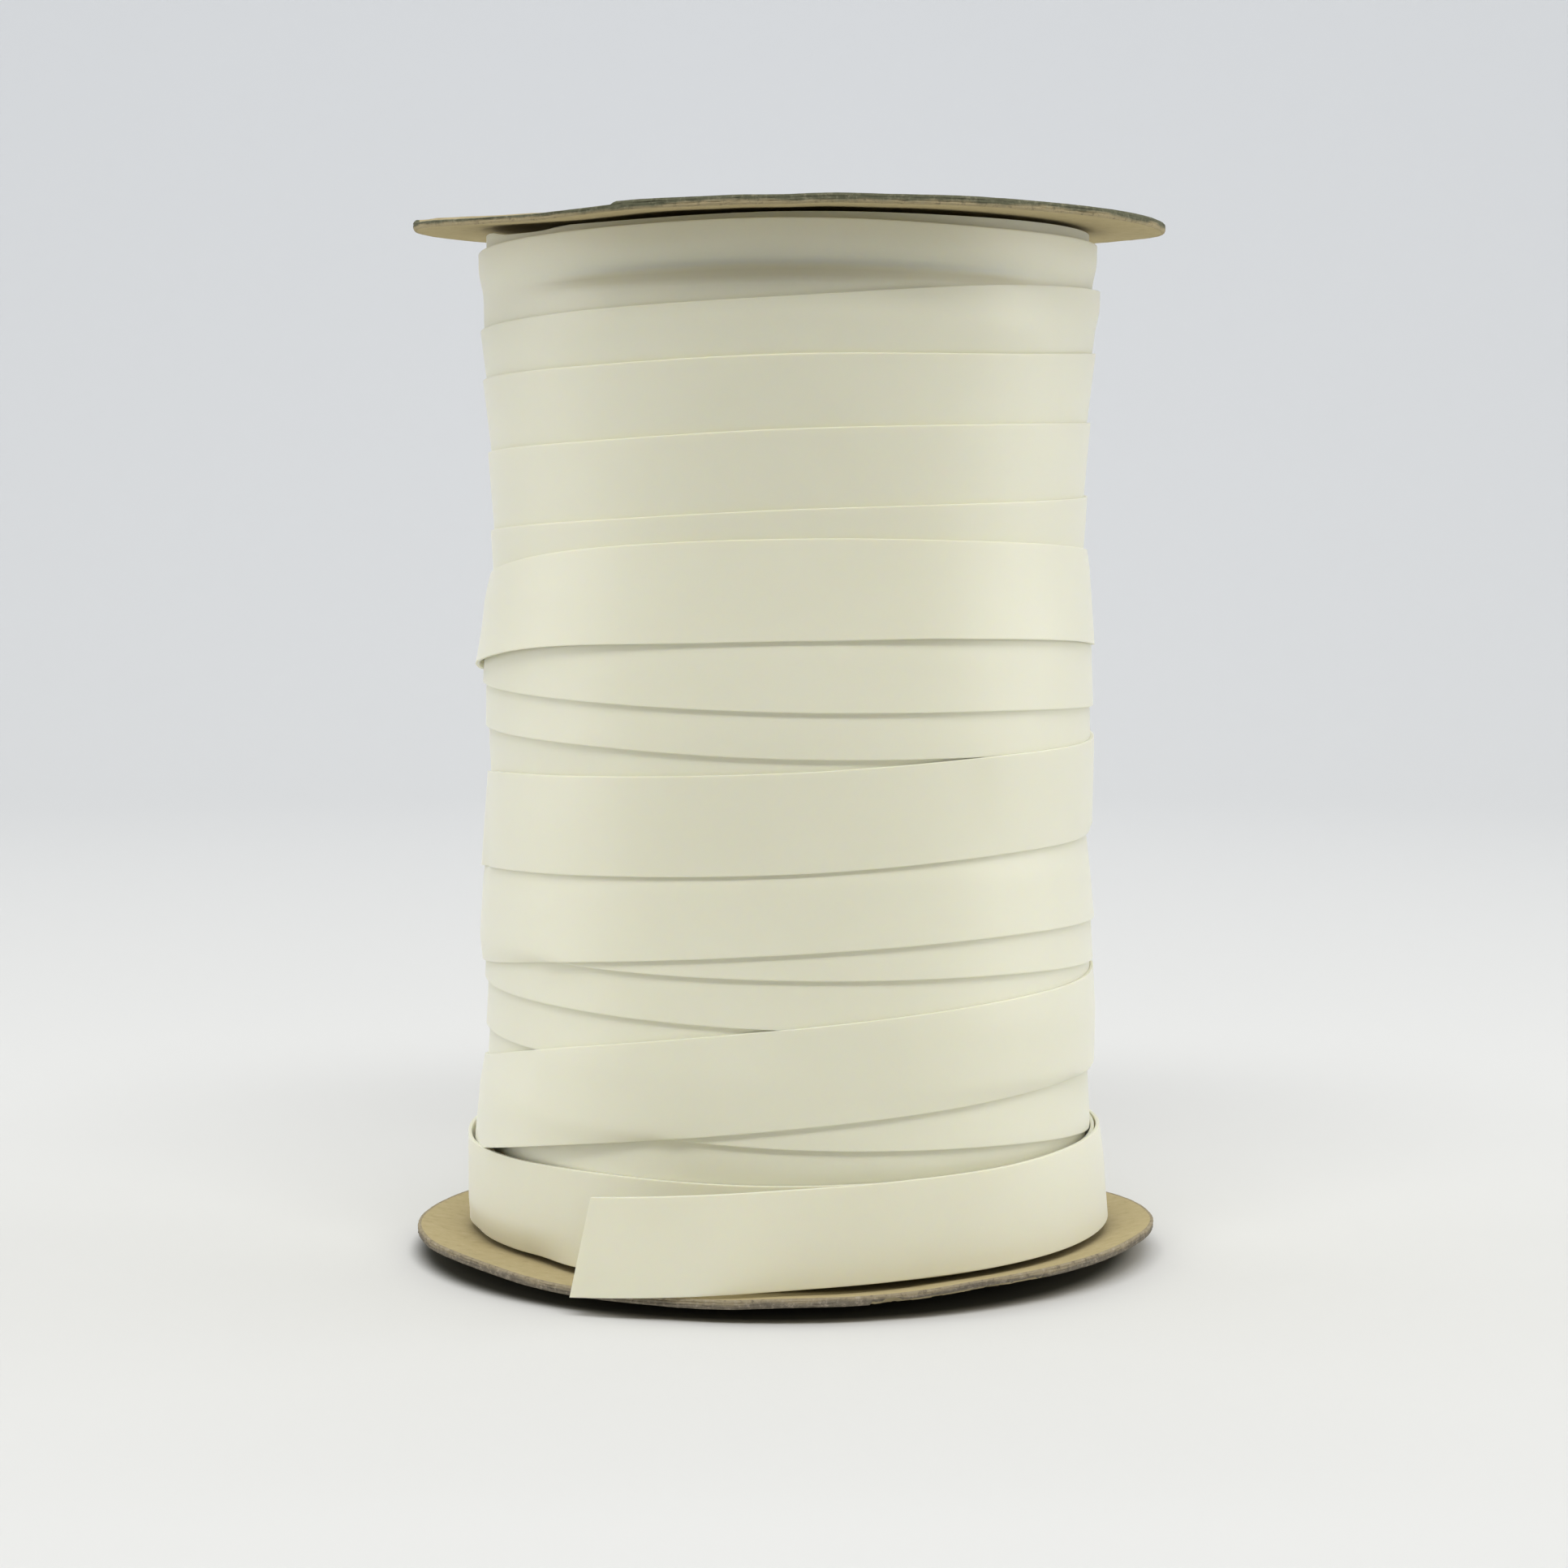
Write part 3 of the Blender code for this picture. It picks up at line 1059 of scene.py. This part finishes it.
@dataclass
class Studio:
    """A pale round sweep, soft light from both sides and above, and the camera."""

    softboxes: Sequence[Softbox]
    columns: int = 96
    sweep_rows: int = 19
    floor_rings: Sequence[float] = (0.001, 0.1, 0.4)
    floor_radius: float = 1.1
    sweep: float = 0.8
    wall_height: float = 1.7
    # Painted shade: the sweep goes from the floor colour near the roll to a darker, cooler colour up the
    # wall, for the light falling off up the sweep
    floor_colour: Colour = (0.741, 0.741, 0.724, 1.0)
    shaded_wall_colour: Colour = (0.647, 0.662, 0.680, 1.0)
    floor_until: float = 0.15
    wall_from: float = 1.9
    # Painted shadow: the floor is painted near black in a disc under the roll, a little off the axis, for
    # the shadow in the gap under the bottom disc's rim
    painted_shadow_colour: Colour = (0.11, 0.11, 0.095, 1.0)
    painted_shadow_middle: Place = (-2.5 * MM, 0.5 * MM, 0.0)
    painted_shadow_radius: float = 70.0 * MM
    painted_shadow_fade: float = 6.5 * MM
    # Painted shade: the floor before the roll, on the camera's side, is painted dark grey for the unlit
    # side of the studio, so that less light comes back from there
    front_shade_colour: Colour = (0.20, 0.20, 0.20, 1.0)
    front_shade_from: float = -0.28
    front_shade_to: float = -0.45
    camera_place: Place = (-0.335 * MM, -763.09 * MM, 157.633 * MM)
    camera_pitch: float = 4.614
    lens: float = 85.21
    sensor: float = 36.0
    near_clip: float = 0.01
    far_clip: float = 20.0
    world_strength: float = 0.53
    world_colour: Colour = (1.0, 1.0, 1.0, 1.0)

    def backdrop_material(self) -> Material:
        """A matte paper finish with painted shade: warm on the floor, darker and cooler up the sweep, and
        painted dark under the roll and on the floor before it.

        Returns:
            The material.
        """
        matte = {"Roughness": 1.0, "Specular IOR Level": 0.0}
        made, tree, shader = new_material("backdrop_paper_painted_shade", matte)
        where = add_node(tree, "ShaderNodeNewGeometry")
        from_axis = add_node(tree, "ShaderNodeVectorMath", operation="LENGTH")
        between = {"From Min": self.floor_until, "From Max": self.wall_from}
        share = add_node(tree, "ShaderNodeMapRange", between)
        split = add_node(tree, "ShaderNodeSeparateXYZ")
        # Painted shade: the floor darkens towards the camera's side
        ahead = {"From Min": self.front_shade_from, "From Max": self.front_shade_to}
        dim = add_node(tree, "ShaderNodeMapRange", ahead, interpolation_type="SMOOTHSTEP")
        dimmed = add_node(tree, "ShaderNodeMix", data_type="RGBA")
        dimmed.inputs["B"].default_value = self.front_shade_colour
        # Painted shadow: the floor turns near black within a disc under the roll
        under = add_node(tree, "ShaderNodeVectorMath", operation="DISTANCE")
        under.inputs[1].default_value = self.painted_shadow_middle
        edge = {"From Min": self.painted_shadow_radius + self.painted_shadow_fade, "From Max": self.painted_shadow_radius}
        shaded = add_node(tree, "ShaderNodeMapRange", edge, interpolation_type="SMOOTHSTEP")
        darker = add_node(tree, "ShaderNodeMix", data_type="RGBA")
        darker.inputs["B"].default_value = self.painted_shadow_colour
        # Painted shade: the floor colour turns to the darker wall colour up the sweep
        mixed = add_node(tree, "ShaderNodeMix", data_type="RGBA")
        mixed.inputs["A"].default_value = self.floor_colour
        mixed.inputs["B"].default_value = self.shaded_wall_colour
        wire(
            tree,
            (where, "Position", from_axis, 0),
            (from_axis, "Value", share, "Value"),
            (share, "Result", mixed, "Factor"),
            (where, "Position", split, "Vector"),
            (split, "Y", dim, "Value"),
            (dim, "Result", dimmed, "Factor"),
            (mixed, "Result", dimmed, "A"),
            (where, "Position", under, 0),
            (under, "Value", shaded, "Value"),
            (shaded, "Result", darker, "Factor"),
            (dimmed, "Result", darker, "A"),
            (darker, "Result", shader, "Base Color"),
        )
        return made

    def build_backdrop(self) -> None:
        """Makes the floor and its sweep, turned about the roll's axis."""
        bend = np.radians(np.linspace(0, 90, self.sweep_rows))
        curve_r = self.floor_radius + self.sweep * np.sin(bend)
        curve_z = self.sweep * (1 - np.cos(bend))
        radii = np.concatenate([self.floor_rings, curve_r, [curve_r[-1]]])
        heights = np.concatenate([np.zeros(len(self.floor_rings)), curve_z, [self.wall_height]])
        points = on_axis(azimuths_round(self.columns), radii[None], heights[None], 0.0)
        i, j = np.meshgrid(np.arange(self.columns), np.arange(len(radii) - 1), indexing="ij")
        i2 = (i + 1) % self.columns
        n = len(radii)
        quads = np.stack([i * n + j, i * n + j + 1, i2 * n + j + 1, i2 * n + j], axis=-1)
        mesh = bpy.data.meshes.new("backdrop")
        mesh.from_pydata(points.reshape(-1, 3).tolist(), [], quads.reshape(-1, 4).tolist())
        mesh.shade_smooth()
        mesh.materials.append(self.backdrop_material())
        backdrop = bpy.data.objects.new("backdrop", mesh)
        bpy.context.scene.collection.objects.link(backdrop)

    @staticmethod
    def add_softbox(softbox: Softbox) -> None:
        """Adds one soft light, which the camera doesn't see.

        Args:
            softbox: Its place, size and power.
        """
        light = bpy.data.lights.new(softbox.name, "AREA")
        light.shape = "RECTANGLE"
        light.size, light.size_y = softbox.size
        light.energy = softbox.power
        holder = bpy.data.objects.new(softbox.name, light)
        holder.location = softbox.place
        towards = Vector(softbox.aim) - Vector(softbox.place)
        holder.rotation_euler = towards.to_track_quat("-Z", "Y").to_euler()
        holder.visible_camera = False
        bpy.context.scene.collection.objects.link(holder)

    def build_camera(self) -> None:
        """Places the camera where the photograph was taken from."""
        camera = bpy.data.cameras.new("camera")
        camera.sensor_width = self.sensor
        camera.lens = self.lens
        camera.clip_start = self.near_clip
        camera.clip_end = self.far_clip
        holder = bpy.data.objects.new("camera", camera)
        holder.location = self.camera_place
        holder.rotation_euler = (math.radians(90 - self.camera_pitch), 0.0, 0.0)
        bpy.context.scene.collection.objects.link(holder)
        bpy.context.scene.camera = holder

    def build(self) -> None:
        """Builds the backdrop, the lights and the camera."""
        self.build_camera()
        self.build_backdrop()
        for softbox in self.softboxes:
            self.add_softbox(softbox)
        world = bpy.data.worlds.new("pale_room")
        world.use_nodes = True
        background = world.node_tree.nodes["Background"]
        background.inputs["Color"].default_value = self.world_colour
        background.inputs["Strength"].default_value = self.world_strength
        bpy.context.scene.world = world
        bpy.context.scene.view_settings.view_transform = "Standard"


# Radius of the drum under the turns, by height
WINDING = knots(
    (4.0, 59.2), (60.0, 59.05), (130.0, 59.0), (150.0, 59.2), (165.0, 59.5), (178.0, 60.1),
    (190.0, 60.8), (198.0, 60.6), (207.3, 61.0),
)

# The last turn and a half: from the back by the right side to the cut end in front
LOOSE_STATIONS = (
    Loose(6, 13.2, 62.7),
    Loose(50, 9.0, 62.7),
    Loose(100, 6.5, 62.5),
    Loose(180, 4.7, 62.1),
    Loose(225, 4.85, 62.0),
    Loose(243, 4.5, 63.2),
    Loose(258, 4.85, 65.2),
    Loose(272, 5.6, 65.7),
    Loose(310, 6.6, 65.2),
    Loose(360, 7.0, 64.9),
    Loose(410, 7.2, 64.7),
    Loose(460, 7.1, 64.6),
    Loose(500, 6.2, 64.9),
    Loose(522, 5.6, 65.4),
    Loose(542.3, 5.1, 69.2),
    Loose(553.7, 5.0, 75.2),
    Loose(571.1, 3.85, 79.9),
)

# Where the edges of the wound tape stand off or are drawn in
TAPE_FLARES = (
    Flare(Edge.UPPER, turn=0, start=-54, end=-64, fade=12, out=0.0, drawn_in=0.9, span=8.0),
    Flare(Edge.UPPER, turn=1, start=85, end=-275, fade=40, out=0.9, drawn_in=0.1, span=9.3, hold=3.0),
    Flare(Edge.LOWER, turn=1, start=34, end=-32, fade=34, out=2.0, drawn_in=0.0, span=10.9, hold=7.7),
    Flare(Edge.LOWER, turn=24, start=-62, end=-110, fade=50, out=0.9, drawn_in=1.3, span=14.0, power=1.6),
    Flare(Edge.LOWER, turn=24, start=62, end=30, fade=25, out=0.3, drawn_in=0.5, span=12.0),
    Flare(Edge.LOWER, turn=26, start=-70, end=-110, fade=55, out=2.6, drawn_in=0.2, span=19.0, power=1.0),
)

# The same on the loose turns
LOOSE_FLARES = (
    Flare(Edge.LOWER, turn=0, start=-55, end=-78, fade=14, out=-1.8, drawn_in=0.4, span=6.0, power=1.5),
    Flare(Edge.UPPER, turn=1, start=110, end=62, fade=30, out=-1.0, drawn_in=0.0, span=8.0),
    Flare(Edge.LOWER, turn=1, start=120, end=62, fade=40, out=0.9, drawn_in=0.0, span=12.0),
)

KRAFT_FACE = BoardFinish(
    name="kraft_face",
    near=(0.475, 0.394, 0.215, 1.0),
    far=(0.44, 0.37, 0.22, 1.0),
    light=(0.56, 0.475, 0.29, 1.0),
    dark=(0.36, 0.285, 0.15, 1.0),
    scale=420.0,
    amount=0.45,
    depth=0.06 * MM,
)

EDGE_BELOW = BoardFinish(
    name="board_edge_below",
    near=(0.34, 0.285, 0.185, 1.0),
    far=(0.19, 0.165, 0.125, 1.0),
    light=(0.46, 0.40, 0.31, 1.0),
    dark=(0.12, 0.10, 0.075, 1.0),
    scale=900.0,
    amount=0.65,
    depth=0.2 * MM,
)

EDGE_ABOVE = BoardFinish(
    name="board_edge_above",
    near=(0.42, 0.345, 0.20, 1.0),
    far=(0.135, 0.137, 0.085, 1.0),
    light=(0.36, 0.33, 0.22, 1.0),
    dark=(0.09, 0.09, 0.06, 1.0),
    scale=900.0,
    amount=0.5,
    depth=0.2 * MM,
)


def below_disc() -> BoardDisc:
    """The disc that the roll stands on, with the heights of its rim's upper edge."""
    return BoardDisc(
        name="disc_below",
        node="flange_bottom",
        side=Side.BELOW,
        dish=knots((0, 1.8), (22, 1.8), (30, 2.1), (50, 2.9), (64, 3.35), (76.2, 5.1)),
        rim=knots(
            (-175, 4.9), (-115, 5.1), (-99, 5.3), (-80, 6.0), (-70, 6.1), (-59, 6.4),
            (-50, 6.15), (-41, 5.4), (-34, 5.0), (-22, 4.8), (-10, 4.7), (0, 5.2),
            (11, 5.4), (21, 5.95), (28, 6.6), (35, 6.9), (43, 7.1), (53, 7.3), (67, 7.6),
            (80, 7.1), (94, 6.2), (102, 5.8), (114, 5.1),
        ),
        tears=(Tear(12, 42, 0.45, 4.0, 2.0), Tear(12, 17, 1.0, 2.5, 2.5)),
        slip=0.0,
        seed=11,
        bend=2.3,
    )


def above_disc() -> BoardDisc:
    """The disc on top of the roll, with the heights of its rim's lower edge."""
    return BoardDisc(
        name="disc_above",
        node="flange_top",
        side=Side.ABOVE,
        dish=knots(
            (0, 210.5), (20, 210.45), (40, 210.1), (55, 209.7), (62, 209.5), (70, 209.25),
            (76.2, 209.1),
        ),
        rim=knots(
            (-175, 209.0), (-122, 209.3), (-106, 209.1), (-80, 208.5), (-70, 208.1),
            (-57, 207.4), (-48, 207.15), (-40, 207.1), (-32, 207.6), (-25, 208.2),
            (-19, 208.5), (-13, 208.65), (-8, 208.85), (0, 208.95), (5, 209.2),
            (15, 209.15), (25, 209.15), (42, 208.75), (64, 208.3), (75, 208.1), (92, 208.3),
            (109, 208.85),
        ),
        tears=(Tear(-78, -25.3, 0.55, 3.0, 10.0),),
        slip=0.7 * MM,
        seed=23,
        bend=1.0,
    )


def wound_tape() -> WoundTape:
    """The tape on the drum, with the heights of its turns as read from the photograph."""
    return WoundTape(
        winding=WINDING,
        ply_turns=(Turn(188.5, 189.1, 189.4, 188.1, 188.4),),
        turns_down=(
            Turn(186.4, 187.2, 188.3, 186.9, 185.0),
            Turn(177.4, 176.4, 173.5, 171.3, 169.4),
            Turn(164.9, 163.3, 162.8, 160.9, 159.5),
            Turn(150.9, 149.9, 148.8, 146.6, 144.9),
            Turn(136.0, 134.8, 133.6, 131.4, 129.2),
        ),
        turns_up=(
            Turn(11.5, 15.0, 18.0, 20.0, 22.5),
            Turn(25.4, 29.0, 30.9, 33.2, 35.5),
            Turn(38.0, 41.0, 44.0, 46.0, 47.3),
            Turn(50.2, 52.5, 53.9, 55.7, 57.0),
            Turn(60.5, 62.6, 63.5, 64.4, 65.5),
            Turn(69.3, 70.1, 68.5, 65.3, 61.0),
            Turn(88.0, 90.0, 92.0, 94.5, 97.0),
            Turn(105.0, 105.2, 105.7, 107.4, 108.6),
            Turn(112.5, 114.0, 114.6, 115.9, 117.4),
            Turn(124.9, 127.4, 128.1, 126.0, 120.7),
            Turn(87.3, 86.0, 83.8, 82.1, 80.3),
            Turn(40.1, 38.1, 34.9, 29.5, 22.3),
        ),
        covered_turns=9,
        pitch_down=14.2,
        lowest_edge=5.0,
        back_end=13.5,
        stations=(88, 40, 0, -40, -80),
        flares=TAPE_FLARES,
        end_radius=LOOSE_STATIONS[0].radius * MM,
        end_turned=LOOSE_STATIONS[0].turned,
    )


def main() -> None:
    """Builds the studio and the pieces."""
    logging.basicConfig(level=logging.INFO, format="%(name)s: %(message)s")
    Studio(softboxes=SOFTBOXES).build()
    vinyl = VinylFinish().material(mottle_group(), grain_group())
    flecks, plies = fleck_group(), plies_group()
    face = KRAFT_FACE.material(flecks, plies)
    below, above = below_disc(), above_disc()
    wound_tape().build(vinyl)
    Drum(winding=WINDING).build(vinyl, below, above)
    LooseTape(stations=LOOSE_STATIONS, flares=LOOSE_FLARES, cut_lean=3.1, cut_reach=0.1).build(vinyl)
    below.build(face, EDGE_BELOW.material(flecks, plies))
    above.build(face, EDGE_ABOVE.material(flecks, plies))


if __name__ == "__main__":
    main()
